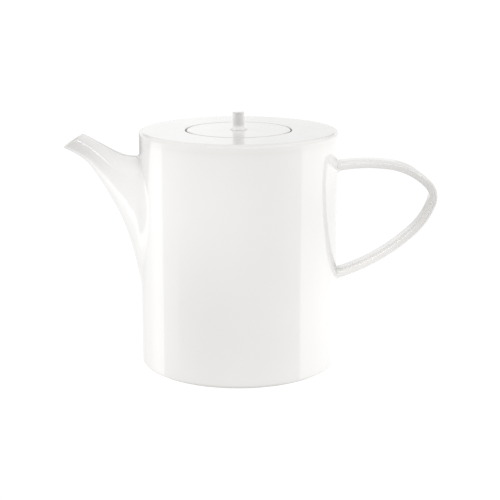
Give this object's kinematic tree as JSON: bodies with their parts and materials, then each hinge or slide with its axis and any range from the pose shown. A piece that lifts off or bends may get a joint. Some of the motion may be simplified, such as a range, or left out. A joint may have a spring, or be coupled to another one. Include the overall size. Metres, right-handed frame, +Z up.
{
  "type": "coffee pot",
  "caption": "Straight-sided round pot for serving coffee, with a slim rising spout, a ribbon loop handle and a flush lift-off lid with a pin knob.",
  "frame": {"origin": "on the axis of the round body, in the plane that the foot ring stands on", "axes": "+Z up along the body's axis, the spout points along -X and the handle along +X, XZ is the plane of symmetry"},
  "size_m": [0.227, 0.12, 0.1553],
  "materials": {
    "white_glaze": "glossy white glaze over porcelain",
    "unglazed_clay": "bare fired porcelain, matt and slightly warm"
  },
  "bodies": {
    "pot": {"body_wall": "white_glaze", "body_floor": "white_glaze", "foot_ring": "unglazed_clay", "top_plate": "white_glaze", "lid_seat": "white_glaze", "spout": "white_glaze", "handle": "white_glaze"},
    "lid": {"lid_disc": "white_glaze", "lid_skirt": "white_glaze", "lid_knob": "white_glaze"}
  },
  "joints": [
    {"name": "lid_lift", "type": "slide", "parent": "pot", "child": "lid", "axis": [0, 0, 1], "range_m": [0, 0.06]}
  ]
}
